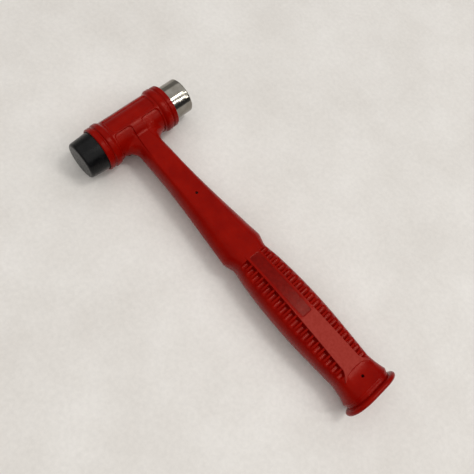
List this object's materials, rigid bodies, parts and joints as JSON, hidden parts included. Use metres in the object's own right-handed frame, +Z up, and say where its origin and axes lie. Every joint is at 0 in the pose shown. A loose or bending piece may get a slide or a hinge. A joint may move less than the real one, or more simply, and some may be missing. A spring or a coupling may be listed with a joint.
{
  "type": "dead blow mallet",
  "caption": "Dead blow mallet with a T-shaped moulded urethane body, one polished steel tip and one soft tip that unscrew, and a sliding shot charge.",
  "frame": {"origin": "on the surface the mallet lies on, under the middle of its overall box", "axes": "+X along the handle from head to butt, +Y along the head from soft tip to steel tip, +Z up, out of the broad face of the handle"},
  "size_m": [0.325, 0.112, 0.041],
  "materials": {
    "red_urethane": "satin moulded red urethane",
    "black_urethane": "satin moulded black urethane",
    "chrome_plate": "polished and lightly scratched",
    "bare_steel": "turned steel",
    "spring_steel": "dark spring steel",
    "shot_steel": "tumbled steel shot"
  },
  "bodies": {
    "root": {"overmould": "red_urethane", "canister_tube": "bare_steel", "handle_core_rod": "bare_steel", "steel_side_plug": "bare_steel", "soft_side_plug": "bare_steel"},
    "steel_tip_seat": {"steel_side_washer": "spring_steel"},
    "steel_tip_turning": {"steel_tip": "chrome_plate"},
    "soft_tip_seat": {"soft_side_washer": "spring_steel"},
    "soft_tip_turning": {"soft_tip": "black_urethane", "soft_tip_stud": "bare_steel"},
    "shot_charge": {"shot_ball_01": "shot_steel", "shot_ball_02": "shot_steel", "shot_ball_03": "shot_steel", "shot_ball_04": "shot_steel", "shot_ball_05": "shot_steel", "shot_ball_06": "shot_steel", "shot_ball_07": "shot_steel", "shot_ball_08": "shot_steel", "shot_ball_09": "shot_steel", "shot_ball_10": "shot_steel", "shot_ball_11": "shot_steel", "shot_ball_12": "shot_steel", "shot_ball_13": "shot_steel", "shot_ball_14": "shot_steel", "shot_ball_15": "shot_steel", "shot_ball_16": "shot_steel", "shot_ball_17": "shot_steel", "shot_ball_18": "shot_steel", "shot_ball_19": "shot_steel", "shot_ball_20": "shot_steel", "shot_ball_21": "shot_steel", "shot_ball_22": "shot_steel", "shot_ball_23": "shot_steel", "shot_ball_24": "shot_steel", "shot_ball_25": "shot_steel", "shot_ball_26": "shot_steel", "shot_ball_27": "shot_steel", "shot_ball_28": "shot_steel"}
  },
  "joints": [
    {"name": "steel_tip_travel", "type": "slide", "parent": "root", "child": "steel_tip_seat", "axis": [0, 1, 0], "range_m": [0, 0.01]},
    {"name": "steel_tip_unscrew", "type": "hinge", "parent": "steel_tip_seat", "child": "steel_tip_turning", "pos_m": [-0.142, 0.0366, 0.0205], "axis": [0, 1, 0], "range_deg": [0, 1800]},
    {"name": "soft_tip_travel", "type": "slide", "parent": "root", "child": "soft_tip_seat", "axis": [0, -1, 0], "range_m": [0, 0.01]},
    {"name": "soft_tip_unscrew", "type": "hinge", "parent": "soft_tip_seat", "child": "soft_tip_turning", "pos_m": [-0.142, -0.0366, 0.0205], "axis": [0, -1, 0], "range_deg": [0, 1800]},
    {"name": "shot_slide", "type": "slide", "parent": "root", "child": "shot_charge", "axis": [0, 1, 0], "range_m": [-0.0064, 0.0064]}
  ],
  "couplings": [
    {"joint": "steel_tip_unscrew", "follows": "steel_tip_travel", "rad_per_m": 3141.6},
    {"joint": "soft_tip_unscrew", "follows": "soft_tip_travel", "rad_per_m": 3141.6}
  ]
}
